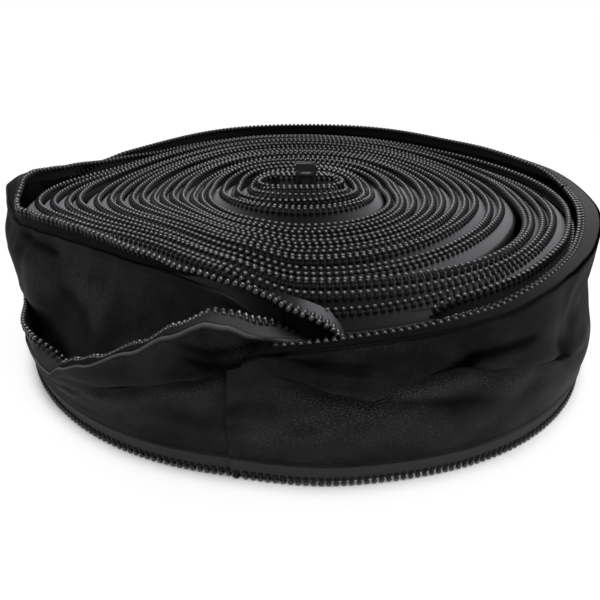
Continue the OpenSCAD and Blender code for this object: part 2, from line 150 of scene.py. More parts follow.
# Flats and swells of the outline: angle, half width in degrees, share of the radius
SWELLS = (
    (-90, 50, 0.035), (-60, 50, 0.012), (-30, 50, 0.02), (0, 50, -0.008), (30, 50, 0.035),
    (60, 50, 0.038), (90, 50, 0.022), (120, 50, -0.06), (150, 50, 0.02), (180, 50, 0.07),
    (-150, 50, 0.022), (-120, 50, -0.095),
)
# Dip of the second turn under the outer end, in mm, and its share passed on by each turn
PRESS = (3.0, 0.7)
# Upper hem of the outer turns: degrees back, way out in mm, drop as a share of the width,
# lean of the tape above the hem in degrees (inwards is negative), and painted light and shade
# of that tape as a factor on its colour
HEM_KEYS = np.array((
    (0, 0, 0.28, -105, 0.05), (4, 1, 0.195, -105, 0.05), (7, 2, 0.15, -105, 0.05),
    (12, 2, 0.121, -105, 0.05), (16, 2, 0.105, -105, 0.05), (20, 2, 0.09, -105, 0.05),
    (25, 2, 0.078, -104, 0.05), (40, 2, 0.032, -105, 0.1), (49, 1, -0.02, -110, 0.2),
    (54, -0.5, -0.04, -113, 0.3), (60, -2, -0.052, -114, 0.4), (72, -4, -0.06, -112, 0.5),
    (90, -4, -0.085, -92, 0.7), (110, -2, -0.12, -80, 0.8), (130, -1, -0.12, -78, 0.7),
    (150, 0, -0.105, -78, 0.6), (195, 1, -0.095, -80, 0.6), (235, 0, -0.09, -78, 0.6),
    (252, 1, -0.08, -76, 0.6), (260, 2, -0.05, -70, 0.6), (265, 2, 0, -50, 0.7),
    (270, 2, 0.05, -25, 1), (276, 0, 0.19, -5, 0.8), (282, -1, 0.31, -5, 0.8),
    (291, -3, 0.47, 0, 0.7), (304, -2, 0.57, 5, 0.6), (314, 3, 0.565, 5, 0.6),
    (319, 4, 0.58, -10, 0.5), (321.5, 4, 0.605, -40, 0.4), (324.5, 3, 0.615, -75, 0.3),
    (329, 2, 0.52, -92, 0.1), (336, 1.5, 0.42, -94, 0.1), (347, 1.5, 0.24, -94, 0.1),
    (354, 1, 0.10, -92, 0.15), (360, 1, 0, -90, 0.25), (362.6, 0, 0.025, -88, 0.45),
    (365.5, -2, 0.10, -76, 0.6), (367, -4, 0.133, -72, 0.6), (370, -5, 0.15, -92, 0.45),
    (372, -6, 0.158, -105, 0.4), (375, -6, 0.20, -105, 0.1), (379, -6, 0.30, -95, 0.05),
    (385, -6, 0.34, -60, 0.05), (392, -6, 0.27, -25, 0.05), (397, -5.5, 0.215, -15, 0.08),
    (408, -5.5, 0.185, -12, 0.3), (425, -5.5, 0.15, -12, 0.5), (440, -5.5, 0.11, -18, 0.7),
    (480, -2, 0.06, -55, 1), (510, 0, 0.02, -70, 1), (540, 0, 0, -75, 1),
    (600, 0, -0.02, -65, 1), (620, 2, -0.07, -75, 0.8), (635, 5, -0.12, -78, 0.5),
    (640, 8, -0.14, -78, 0.4), (645, 11, -0.16, -78, 0.3), (650, 12, -0.15, -74, 0.2),
    (655, 9, -0.09, -50, 0.15), (659, 5, -0.02, -15, 0.2), (662, 1.5, 0, 0, 0.15),
    (666, -6, 0, 0, 0.12), (675, -17.7, 0, 0, 0.1), (682, -25, 0, 6, 0.1),
    (690, -29.5, 0, 15, 0.1), (702, -30.4, 0, 28, 0.1),
    (713, -27.3, 0, 45, 0.1), (722, -24.5, 0, 65, 0.1), (727, -20, 0, 84, 0.1),
    (731, -12, 0, 100, 0.15), (733.5, -7.5, 0, 110, 0.8), (736, -6.5, 0.03, 116, 1.2),
    (739, -9, 0.14, 112, 0.5), (741, -9, 0.3, 100, 0.05), (744, -9, 0.36, -60, 0.05),
    (747, -9, 0.34, -85, 0.05), (751, -7, 0.25, -50, 0.05), (757, -3, 0.13, -15, 0.2),
    (768, -1.5, 0.10, -12, 0.4), (785, -1.5, 0.06, -12, 0.6), (800, -2, 0.03, -20, 0.7),
    (840, 0, 0, -45, 1), (900, 0, 0, -55, 1), (1000, 0, 0, -45, 1),
))
# Crease round the outer turn: angle from the front, height as a share of the width
CREASE = np.array((
    (-60, 0.30), (-40, 0.34), (-33, 0.375), (-23, 0.484), (-14, 0.593), (-10, 0.645),
    (-5, 0.65), (0, 0.617), (5, 0.555), (9.6, 0.508), (13.3, 0.569), (17.5, 0.617),
    (22, 0.632), (27, 0.585), (33, 0.548), (40, 0.496), (49, 0.382), (62, 0.30),
))
# Small folds: degrees back and height share at both ends, depth in mm (a ridge is negative)
# and half width in mm
FOLDS = (
    (29.5, 0.617, 35.4, 0.693, 1.6, 3), (35.4, 0.693, 46, 0.70, 1.2, 3),
    (11, 0.30, 19, 0.41, -1.3, 4), (9, 0.735, 22, 0.69, 0.8, 1.6),
    (13, 0.70, 21, 0.655, 0.7, 1.6), (15, 0.62, 23, 0.60, -1.0, 3), (24, 0.47, 40, 0.40, 0.9, 4),
    (52, 0.60, 66, 0.45, 0.9, 4), (56, 0.68, 82, 0.66, 5.5, 19), (56, 0.27, 82, 0.27, -2.2, 10),
    (357.5, 0.77, 363.5, 0.742, 1.0, 2), (358, 0.716, 362.5, 0.675, 0.9, 2),
    (349, 0.46, 357, 0.50, -0.7, 3), (664, 0.84, 674, 0.80, 1.3, 2.5),
    (676, 0.62, 690, 0.50, 0.8, 5),
)
# Patches of raised nap: degrees back, height share, half widths in degrees and share, amount
DUST = (
    (20, 0.42, 9, 0.10, 1.0), (27, 0.52, 7, 0.09, 0.7), (6.5, 0.26, 3, 0.08, 0.8),
    (14, 0.33, 6, 0.08, 0.7), (52, 0.45, 14, 0.12, 0.7), (66, 0.55, 9, 0.12, 0.6),
    (20, 0.79, 8, 0.04, 0.7), (683, 0.70, 16, 0.12, 0.6), (345, 0.30, 8, 0.06, 0.4),
    (33, 0.25, 10, 0.07, 0.5),
)
# Degrees back where the keys give way to the rule of the inner turns, and over how many
KEYS_END, KEYS_FADE = 830, 170
# That rule, in mm: way in at the left of the front and at the front, flare out at the far left,
# way out at the right for each turn, and way in behind the gap there
LEFT_IN, FRONT_IN, FLARE_OUT, RIGHT_OUT, GAP_IN = 28, 7, 10, 3.0, 2
# Turns in from the outside where the gap at the right comes
GAP_AT = 6.5
# Sunk shares of the width at the front: of the third turn, fading inwards, and of all turns
THIRD_SUNK, ALL_SUNK = 0.10, 0.09
# Lean of the inner tapes in degrees: everywhere, and more at the sides and at the back
TILT, TILT_SIDE, TILT_REAR = -14, -44, -30
# Cut of the outer end in degrees: at the lower hem, more at the upper hem, length drawn back
CUT_LOW, CUT_SLANT, CUT_RUN = 1.1, 0.9, 40
# Way in of the pressed foot of the outer end in mm, and the degrees that it fades over
FOOT_IN, FOOT_RUN = 3.4, 18
# Gap between leather and tape
SEW_GAP = 0.05 * MM
# Sine waves in a slow wandering, and in the wrinkles of the leather
WAVES, WRINKLES = 7, 18


def eased(x):
    """Smooth step from 0 to 1: three squares less two cubes of x held between 0 and 1."""
    h = np.clip(x, 0, 1)
    return h * h * (3 - 2 * h)


def hump(d, low, high):
    """Half cosine hump: 1 at d = 0, down to 0 at low below it and at high above it."""
    w = np.where(d < 0, low, high)
    return np.where(np.abs(d) < w, (1 + np.cos(np.pi * d / w)) / 2, 0.0)


def turn_to(a, b):
    """Signed difference of two angles in degrees, from -180 to 180."""
    d = a - b
    return d - 360 * np.round(d / 360)


def keyed(x, keys, column):
    """Value at x on a line through the keys: the mean of an eased and a straight way between."""
    xs, ys = keys[:, 0], keys[:, column]
    i = np.clip(np.searchsorted(xs, x, side="right") - 1, 0, len(xs) - 2)
    straight = (x - xs[i]) / (xs[i + 1] - xs[i])
    t = 0.5 * eased(straight) + 0.5 * np.clip(straight, 0, 1)
    return ys[i] * (1 - t) + ys[i + 1] * t


def wander(x, seed, amount):
    """Slow seeded wandering along x: a sum of sine waves with drawn frequencies and phases."""
    rng = np.random.default_rng(seed)
    freq = rng.uniform(0.5, 3.0, WAVES)
    phase = rng.uniform(0, 2 * np.pi, WAVES)
    waves = np.sin(2 * np.pi * freq * x[..., None] + phase)
    return amount * waves.sum(-1) / math.sqrt(WAVES)


def angle(u):
    """Angle from the front towards the right, in degrees."""
    return np.where(u < 0, 180.0, 180.0 - 360.0 * u)


def back(u):
    """Degrees wound back from the outer end."""
    return 360 * (roll().turns - u)


def length_at(u):
    """Length of an even spiral from its start: 2 pi (core u + step u u / 2)."""
    r = roll()
    return 2 * math.pi * (r.core * u + r.step * u * u / 2)


def turns_at(length):
    """Inverse of length_at."""
    r = roll()
    return (np.sqrt(r.core ** 2 + r.step * length / math.pi) - r.core) / r.step


def seam(k):
    """Cross seam k of the strip, in turns: the panels share the length before the end panel."""
    r = roll()
    if k == 0:
        return -r.inner_run / (2 * math.pi * r.core)
    return float(turns_at(k * (length_at(r.turns) - r.end_len) / r.panels))


def radius(u):
    """Radius of the winding: an even spiral, plus loose places, times the outline's swells."""
    r = roll()
    a = angle(u)
    share = u / r.turns
    loose = sum(
        room * MM * np.maximum(0, np.cos(np.radians(turn_to(a, at)))) ** 2
        * (eased((u - r.turns + inward) / 0.9 + 0.5) - share)
        for inward, room, at in LOOSE
    )
    front = np.maximum(0, np.cos(np.radians(a))) ** 2
    loose = loose + FRONT_FULL * MM * front * 4 * share * (1 - share)
    swell = sum(rise * hump(turn_to(a, at), half, half) for at, half, rise in SWELLS)
    inward = r.turns - u
    press = PRESS[0] * MM * PRESS[1] ** np.maximum(inward - 1, 0) * (inward > 0.8)
    a = turn_to(a, 0)
    press = press * eased((a + 14) / 12) * (1 - eased((a - 20) / 60))
    return (r.core + r.step * u + loose * np.clip(u / 3, 0, 1)) * (1 + swell * share ** 2) - press


def plan(u):
    """Middle of the strip in plan and its outward direction. The inner turns are flattened."""
    r = roll()
    a = np.radians(angle(u))
    rad = radius(u)
    run = r.core_run * np.exp(-u / 8) * np.tanh(3 * np.sin(a))
    x = np.where(u < 0, 2 * math.pi * r.core * u, rad * np.sin(a) + run)
    y = np.where(u < 0, r.core, -rad * np.cos(a))
    return np.stack([x, y], -1), np.stack([np.sin(a), -np.cos(a)], -1)


def hem_base():
    """Height of a hem above its tooth tips."""
    s = sizes()
    return s.reach + s.tape_show


def flat_width():
    """Width of the leather between its hems."""
    return sizes().width - 2 * hem_base()


def hem(u):
    """Way out, height and tape lean of the upper hem.

    The outer turns follow HEM_KEYS. Further in, the turns lean in at the left of the front and
    sag a little at the front, both less towards the core, and the tapes wander. At the right of
    the front the outer seven lean out and the others in, which leaves a gap between them.
    """
    s = sizes()
    b = back(u)
    a = turn_to(angle(u), 0)
    inward = b / 360
    keys = [keyed(b, HEM_KEYS, i) for i in (1, 2, 3)]
    deep = np.clip(1 - (inward - 2.9) / 18, 0, 1)
    front = eased((a + 14) / 14) * (1 - eased((a - 8) / 62))
    lean = -LEFT_IN * deep * hump(a + 34, 46, 40) - FRONT_IN * deep * front + wander(u, 3, 0.7)
    lean = lean + FLARE_OUT * hump(a + 84, 30, 24) * np.clip(1 - (inward - 2.7) / 5, 0, 1)
    right, gap = hump(a - 42, 36, 40), eased((inward - GAP_AT) / 0.4)
    lean = lean + RIGHT_OUT * np.clip(inward - 2.55, 0, 5) * right * (1 - gap)
    lean = lean - GAP_IN * right * gap * np.clip((14 - inward) / 8, 0, 1)
    drop = THIRD_SUNK * np.exp((2.9 - inward) / 0.6) + ALL_SUNK * deep
    drop = drop * front + wander(u, 5, 0.004)
    side = np.sin(np.radians(a)) ** 2
    rear = np.maximum(0, -np.cos(np.radians(a))) * np.exp((2.5 - inward) / 2)
    tilt = TILT + TILT_SIDE * side + TILT_REAR * rear + wander(u / 5, 8, 7)
    t = eased((b - KEYS_END) / KEYS_FADE)
    out, sunk, bend = (k * (1 - t) + v * t for k, v in zip(keys, (lean, drop, tilt)))
    fade = np.clip((u - 0.4) / 1.2, 0, 1)
    height = s.width - hem_base() - s.width * sunk * fade
    return out * MM * fade, height, np.radians(bend * fade)


def trimmed(u, v):
    """Place along the strip with the slanting cut of its outer end.

    The run before the end is drawn back evenly, by the cut at the lower hem and more at the upper.
    """
    return u - (CUT_LOW + CUT_SLANT * v) / 360 * np.clip(1 - back(u) / CUT_RUN, 0, 1)


def foot(u):
    """Way in of the lower hem close to the outer end, which is pressed on the turn below it."""
    return -FOOT_IN * MM * (1 - eased(back(u) / FOOT_RUN))


def seat():
    """Way from the middle of the tape to the middle of the leather."""
    s = sizes()
    return (s.tape + s.leather) / 2 + SEW_GAP


def bulge(b, a):
    """How far the leather above the crease stands out, in mm."""
    near_end = 6.5 * eased((b - 4) / 12) * (1 - eased((a - 25) / 40)) * (b < 100)
    sunken = 6 * eased((a + 46) / 24) * (b > 300) * (1 - eased((b - 364) / 6))
    return near_end + sunken


def leather_middle(u, v):
    """Way out and height of the middle of the leather; v runs from the lower to the upper hem.

    The wall eases from upright at the lower hem to the upper hem's place. Above the crease the
    outer turn steps out by the bulge, and below it the leather is drawn in a little.
    """
    s = sizes()
    low = hem_base()
    out, high, _ = hem(u)
    b = back(u)
    a = turn_to(angle(u), 0)
    z = low + (high - low) * v
    lap = s.tape_lap / (high - low)
    rise = np.clip((v - lap) / (1 - lap), 0, 1)
    o = seat() + out * (0.6 * eased(rise) + 0.4 * rise) + foot(u) * (1 - eased(v / 0.6))
    # Belly of the second turn at the left, where its corner is folded in
    o = o + 8 * MM * hump(b - 665, 24, 16) * hump(v - 0.76, 0.7, 0.24)
    # Bulge above the crease that fades to the hem, tongue over the outer end, and line drawn in
    fold = keyed(a, CREASE, 1) * s.width
    above = (z - fold) / MM
    swell = bulge(b, a) * MM
    full = 1 - 0.65 * eased((z - fold) / np.maximum(high - fold, MM))
    tongue = 6.5 * MM * hump(b - 360, 14, 8)
    o = o + swell * eased(above / 7 + 0.5) * full + tongue * eased(above / 8 + 0.5)
    o = o - np.minimum(0.5 * swell, 3.0 * MM) * hump(above, 9, 2.2)
    # The outer turn is a little round, and the second turn swells above the sunken hem before it
    o = o + 1.2 * MM * np.sin(np.pi * np.clip(z / s.width, 0, 1)) * (b < 372)
    second = hump(b - 690, 60, 40)
    ledge = (keyed(b - 360, HEM_KEYS, 2) - 0.04) * s.width
    o = o + second * 2.4 * MM * hump((s.width - low - ledge - z) / MM + 12, 10, 14)
    return o, z


def folds(u, v):
    """Small folds of the outer turns, as a way out.

    Each is a straight line of degrees back and height; the leather is pressed in along it by
    a bell of its depth over its half width, fading towards the line's ends.
    """
    s = sizes()
    _, high, _ = hem(u)
    z = hem_base() + (high - hem_base()) * v
    x = back(u) * math.pi / 180 * radius(u)
    total = np.zeros(np.broadcast(u, v).shape)
    for b0, z0, b1, z1, depth, half in FOLDS:
        r = radius(roll().turns - (b0 + b1) / 720) * math.pi / 180
        dx, dz = (b1 - b0) * r, (z1 - z0) * s.width
        px, pz = x - b0 * r, z - z0 * s.width
        t = (px * dx + pz * dz) / (dx * dx + dz * dz)
        off = (px * dz - pz * dx) / math.hypot(dx, dz)
        ends = eased((t + 0.25) / 0.4), eased((1.25 - t) / 0.4)
        total -= depth * MM * (np.exp(-((off / (half * MM)) ** 2)) * ends[0] * ends[1])
    return total


def dust(u, v):
    """Amount of raised nap: a sum of bells round the places of DUST."""
    z = leather_middle(u, v)[1] / sizes().width
    return sum(
        much * np.exp(-(((back(u) - b) / wide) ** 2) - ((z - at) / tall) ** 2)
        for b, at, wide, tall, much in DUST
    )


def wrinkles(u, v):
    """Small waves of worn leather on the outer turns, as a way out: seeded sine waves."""
    s = sizes()
    along = length_at(u)
    rng = np.random.default_rng(41)
    total = np.zeros(np.broadcast(u, v).shape)
    for _ in range(WRINKLES):
        size = rng.uniform(7, 40) * MM
        turn = rng.normal(0.25, 0.6)
        wave = np.cos(turn) * v * s.width + np.sin(turn) * along
        total += np.sin(2 * np.pi * wave / size + rng.uniform(0, 6.3)) * size
    mask = 0.55 + 0.45 * wander(u * 6 + v * 0.8, 12, 0.8)
    return (total * 0.007 * mask + folds(u, v)) * eased((u - roll().turns + 2.2) / 0.3)


# Meshes

def wound(u0, u1):
    """Length of the winding from u0 to u1, less the straight run of the inner end."""
    return float(length_at(u1) - length_at(max(u0, 0.0)))


def stations(u0, u1, spacing):
    """Places from u0 to u1, an even length apart; six on the straight run of the inner end."""
    n = max(3, int(round(wound(u0, u1) / spacing)) + 2)
    u = turns_at(np.linspace(length_at(max(u0, 0.0)), length_at(u1), n))
    if u0 < 0:
        u = np.concatenate([np.linspace(u0, 0, 6)[:-1], u])
    return u


def lifted(u, out, z):
    """Points in space: the plan's middle moved outwards by out, at height z, all in rows by u."""
    middle, outward = plan(u)
    return np.concatenate([middle + outward * out[..., None], z[..., None]], -1)


def thickened(out, z, thick):
    """Closed section round a line of (out, z): one side forwards, a round end, the other back.

    Each side lies half the thickness along the line's normal. A point at 0.8 of that past each
    end of the line rounds it.
    """
    do, dz = np.gradient(out, axis=1), np.gradient(z, axis=1)
    n = np.maximum(np.hypot(do, dz), 1e-9)
    do, dz = do / n, dz / n
    half = thick / 2
    front = np.stack([out + dz * half, z - do * half], -1)
    rear = np.stack([out - dz * half, z + do * half], -1)
    tip = np.stack([out, z], -1)
    along = np.stack([do, dz], -1)
    top = tip[:, -1:] + along[:, -1:] * half[:, -1:, None] * 0.8
    bottom = tip[:, :1] - along[:, :1] * half[:, :1, None] * 0.8
    return np.concatenate([front, top, rear[:, ::-1], bottom], 1)


def there_and_back(x):
    """Values along a section, all round it: forwards, the last, backwards, the first."""
    return np.concatenate([x, x[:, -1:], x[:, ::-1], x[:, :1]], 1)


def strip_uv(u, across):
    """Texture places in metres: the length along the strip and the way across it."""
    return np.stack(np.broadcast_arrays(length_at(u), across), -1).reshape(-1, 2)


def ring_sides(n, m):
    """Quads between n rings of m points."""
    i, j = np.meshgrid(np.arange(n - 1), np.arange(m), indexing="ij")
    k = (j + 1) % m
    return np.stack([i * m + j, i * m + k, (i + 1) * m + k, (i + 1) * m + j], -1).reshape(-1, 4)


def swept(rings):
    """Vertices and quads of closed rings (count, points, 3), with both ends closed in rungs."""
    n, m, _ = rings.shape
    h = np.arange(m // 2 - 1)
    rung = np.stack([m - 1 - h, h, h + 1, m - 2 - h], -1)
    last = (n - 1) * m
    quads = np.concatenate([ring_sides(n, m), rung[:, ::-1], last + rung])
    return rings.reshape(-1, 3), quads


def run_along(path):
    """Length along a path of points, from its first."""
    return np.concatenate([[0], np.cumsum(np.linalg.norm(np.diff(path, axis=0), axis=1))])


def points_at(want, along, values):
    """Rows of three values at the wanted lengths, on straight lines between the given ones."""
    return np.stack([np.interp(want, along, values[:, i]) for i in range(3)], -1)


def unit(v):
    """Rows turned into directions; a row of zeros stays so."""
    return v / np.maximum(np.linalg.norm(v, axis=1), 1e-9)[:, None]


def new_piece(name, verts, quads, material, uv=None, values=None, smooth=True):
    """Object with one mesh from arrays of vertices and of faces with four corners."""
    mesh = bpy.data.meshes.new(name)
    mesh.vertices.add(len(verts))
    mesh.vertices.foreach_set("co", np.asarray(verts, np.float32).ravel())
    mesh.loops.add(quads.size)
    mesh.loops.foreach_set("vertex_index", quads.astype(np.int32).ravel())
    mesh.polygons.add(len(quads))
    mesh.polygons.foreach_set("loop_start", np.arange(0, quads.size, 4, dtype=np.int32))
    mesh.polygons.foreach_set("use_smooth", np.full(len(quads), smooth))
    mesh.update(calc_edges=True)
    if uv is not None:
        layer = mesh.uv_layers.new(name="strip")
        layer.data.foreach_set("uv", np.asarray(uv, np.float32)[quads.ravel()].ravel())
    for key, data in (values or {}).items():
        attribute = mesh.attributes.new(key, "FLOAT", "POINT")
        attribute.data.foreach_set("value", np.asarray(data, np.float32).ravel())
    if mesh.validate():
        raise RuntimeError(f"{name} has a bad face")
    mesh.materials.append(material)
    obj = bpy.data.objects.new(name, mesh)
    bpy.context.scene.collection.objects.link(obj)
    return obj


# Materials

def fill(tree, node, sources=(), **settings):
    """Gives a node its own settings, and fills its sockets by name or in order.

    An output is linked into its socket, and any other value is set there.
    """
    sockets = list(zip(node.inputs, sources))
    for key, value in settings.items():
        if hasattr(node, key):
            setattr(node, key, value)
        else:
            sockets.append((node.inputs[key.replace("_", " ")], value))
    for socket, value in sockets:
        if isinstance(value, bpy.types.NodeSocket):
            tree.links.new(value, socket)
        else:
            socket.default_value = value


def add(tree, kind, sources=(), out=0, **settings):
    """Adds a node with its settings and links, and returns one of its outputs."""
    node = tree.nodes.new(kind)
    fill(tree, node, sources, **settings)
    return node.outputs[out]


def times(colour, factor):
    """Colour with its three parts multiplied."""
    return tuple(factor * x for x in colour[:3]) + (1,)


def shader(name, colour, **sockets):
    """New material with a Principled shader of one colour; returns it, its tree and shader."""
    material = bpy.data.materials.new(name)
    material.use_nodes = True
    material.diffuse_color = tuple(colour)
    tree = material.node_tree
    principled = tree.nodes["Principled BSDF"]
    fill(tree, principled, Base_Color=tuple(colour), **sockets)
    return material, tree, principled


def leather_material():
    """Black split leather, dyed and brushed: matt nap with a fine pebbled grain, dusty specks
    in patches where the nap is raised, greyer upper hem edges, painted shade in the folds and
    under the upper hem, and paler specks below the crease as a painted highlight."""
    c = colours()
    material, tree, principled = shader(
        "black_split_leather", c.leather, Roughness=0.62, Specular_IOR_Level=0.1
    )
    uv = add(tree, "ShaderNodeUVMap", uv_map="strip")
    # Grain of 1.2 mm, patches 30 mm wide, and brushed specks 0.7 mm wide and 1.1 mm long
    brushed = add(
        tree, "ShaderNodeMapping",
        Vector=uv, Rotation=(0, 0, 0.5), Scale=(1 / (1.1 * MM), 1 / (0.7 * MM), 1),
    )
    grain, patch, nap = (
        add(
            tree, "ShaderNodeTexNoise", out="Fac",
            Vector=place, Scale=1 / size, Detail=4.0, Roughness=rough,
        )
        for place, size, rough in ((uv, 1.2 * MM, 0.65), (uv, 30 * MM, 0.6), (brushed, 1.0, 0.8))
    )
    # hem: paler upper hem edge; fold: painted shade; nap: raised nap and a painted highlight
    pale_hem, fold_shade, nap_and_highlight = (
        add(tree, "ShaderNodeAttribute", out="Fac", attribute_name=name)
        for name in ("hem", "fold", "nap")
    )
    mottle = add(tree, "ShaderNodeMapRange", Value=patch, From_Min=0.38, From_Max=0.66)
    tone = add(
        tree, "ShaderNodeMix", out="Result", data_type="RGBA",
        Factor=mottle, A=times(c.leather, 0.05), B=times(c.leather, 2.1),
    )
    raised = add(
        tree, "ShaderNodeMapRange",
        Value=patch, From_Min=0.4, From_Max=0.68, To_Min=0.03, To_Max=0.45,
    )
    # The nap attribute adds raised nap, and a painted highlight below the crease
    raised = add(tree, "ShaderNodeMath", (raised, nap_and_highlight), operation="ADD")
    specks = add(
        tree, "ShaderNodeMapRange", Value=nap, From_Min=0.5, From_Max=0.8, To_Max=0.75
    )
    dust_and_highlight = add(tree, "ShaderNodeMath", (specks, raised), operation="MULTIPLY")
    paler = add(tree, "ShaderNodeMath", (pale_hem, dust_and_highlight), operation="MAXIMUM")
    base = add(
        tree, "ShaderNodeMix", out="Result", data_type="RGBA",
        Factor=paler, A=tone, B=tuple(c.pale_marks),
    )
    # Painted shade darkens colour and gloss in the creases, the small folds and under the upper
    # hem
    painted_shade = add(tree, "ShaderNodeMapRange", Value=fold_shade, To_Min=1.0, To_Max=0.05)
    height = add(tree, "ShaderNodeMath", (grain, nap), operation="ADD")
    fill(
        tree, principled,
        Base_Color=add(tree, "ShaderNodeVectorMath", (base,), operation="SCALE", Scale=painted_shade),
        Specular_IOR_Level=add(tree, "ShaderNodeMath", (painted_shade, 0.1), operation="MULTIPLY"),
        Normal=add(tree, "ShaderNodeBump", Height=height, Strength=0.5, Distance=0.3 * MM),
    )
    return material


def tape_material():
    """Woven polyester zipper tape: a dull grey-black twill with slanting ribs 0.7 mm apart,
    with painted light and shade along the strip.
    """
    c = colours()
    material, tree, principled = shader(
        "woven_polyester_tape", c.tape, Roughness=0.7, Specular_IOR_Level=0.25
    )
    uv = add(tree, "ShaderNodeUVMap", uv_map="strip")
    # A slanting wave at a scale of 1 turns 10 radians over a unit along the tape or across it,
    # so these ribs come every 1 mm both ways; threads 0.8 mm wide
    ribs = add(
        tree, "ShaderNodeTexWave", out="Fac", wave_type="BANDS", bands_direction="DIAGONAL",
        Vector=uv, Scale=2 * math.pi / (10 * 1.0 * MM),
    )
    threads = add(
        tree, "ShaderNodeTexNoise", out="Fac", Vector=uv, Scale=1 / (0.8 * MM), Detail=2.0
    )
    weave = add(tree, "ShaderNodeMath", (ribs, threads), operation="MULTIPLY")
    tone = add(
        tree, "ShaderNodeMix", out="Result", data_type="RGBA",
        Factor=weave, A=times(c.tape, 0.75), B=times(c.tape, 1.5),
    )
    # Painted light and shade: the tone attribute scales the weave's colour and gloss
    shade = add(tree, "ShaderNodeAttribute", out="Fac", attribute_name="tone")
    fill(
        tree, principled,
        Base_Color=add(tree, "ShaderNodeVectorMath", (tone,), operation="SCALE", Scale=shade),
        Specular_IOR_Level=add(tree, "ShaderNodeMath", (shade, 0.25), operation="MULTIPLY"),
        Normal=add(tree, "ShaderNodeBump", Height=weave, Strength=0.25, Distance=0.15 * MM),
    )
    return material


def teeth_material():
    """Injection moulded acetal with a soft gloss: black shanks, and glossier heads whose paler
    colour is a painted highlight.
    """
    c = colours()
    material, tree, principled = shader(
        "moulded_acetal", c.teeth, Roughness=0.3, Specular_IOR_Level=0.5, IOR=1.48
    )
    # Paler colour on the heads is a painted highlight
    head = add(tree, "ShaderNodeAttribute", out="Fac", attribute_name="head")
    place = add(tree, "ShaderNodeTexCoord", out="Object")
    # Flow marks about 2 mm wide
    flow = add(
        tree, "ShaderNodeTexNoise", out="Fac", Vector=place, Scale=1 / (2 * MM), Detail=2.0
    )
    fill(
        tree, principled,
        Base_Color=add(
            tree, "ShaderNodeMix", out="Result", data_type="RGBA",
            Factor=head, A=times(c.teeth, 0.5), B=tuple(c.teeth),
        ),
        Specular_IOR_Level=add(tree, "ShaderNodeMapRange", Value=head, To_Min=0.12, To_Max=0.9),
        Roughness=add(tree, "ShaderNodeMapRange", Value=flow, To_Min=0.2, To_Max=0.36),
    )
    return material


def thread_material():
    """Twisted polyester thread: dull, close to the leather in colour, with fine plies."""
    material, tree, principled = shader(
        "polyester_thread", colours().thread, Roughness=0.7, Specular_IOR_Level=0.1
    )
    place = add(tree, "ShaderNodeTexCoord", out="Object")
    # Plies 0.5 mm wide
    ply = add(
        tree, "ShaderNodeTexNoise", out="Fac", Vector=place, Scale=1 / (0.5 * MM), Detail=1.0
    )
    bump = add(tree, "ShaderNodeBump", Height=ply, Strength=0.4, Distance=0.1 * MM)
    fill(tree, principled, Normal=bump)
    return material


def slider_material():
    """Painted zinc die casting: dark grey enamel, smooth, with a gloss that varies in specks."""
    material, tree, principled = shader(
        "painted_zinc", colours().metal, Roughness=0.5, Specular_IOR_Level=0.3
    )
    place = add(tree, "ShaderNodeTexCoord", out="Object")
    # Specks 0.7 mm wide
    speck = add(
        tree, "ShaderNodeTexNoise", out="Fac", Vector=place, Scale=1 / (0.7 * MM), Detail=3.0
    )
    gloss = add(tree, "ShaderNodeMapRange", Value=speck, To_Min=0.4, To_Max=0.62)
    fill(tree, principled, Roughness=gloss)
    return material


def material_named(name, maker):
    """The finish of that name, made on first use."""
    return bpy.data.materials.get(name) or maker()


# Pieces


def carry(obj, at_end):
    """A piece rides on the roll; one at the end stays apart, with its place baked into its mesh.
    """
    if at_end:
        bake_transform(obj)
    else:
        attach(obj, "roll")


# Outer turns that have a fine grid: how many, step along it and points across the strip
FINE_TURNS, FINE_STEP, FINE_ROWS = 2.6, 2.2 * MM, 44
# The same for the other turns
STEP, ROWS_ACROSS = 5 * MM, 12
# Half the gap of a cross seam
SEAM_HALF = 0.15 * MM
# Extra share of the thickness at a hem, and how far in it goes
HEM_SWELL, HEM_EDGE = 0.25, 4 * MM
# Width of the paler upper hem edge, how pale it is all along, and more where the outer turn is
# sunk
PALE_EDGE, PALE_ALL, PALE_SUNK = 0.9 * MM, 0.05, 0.4


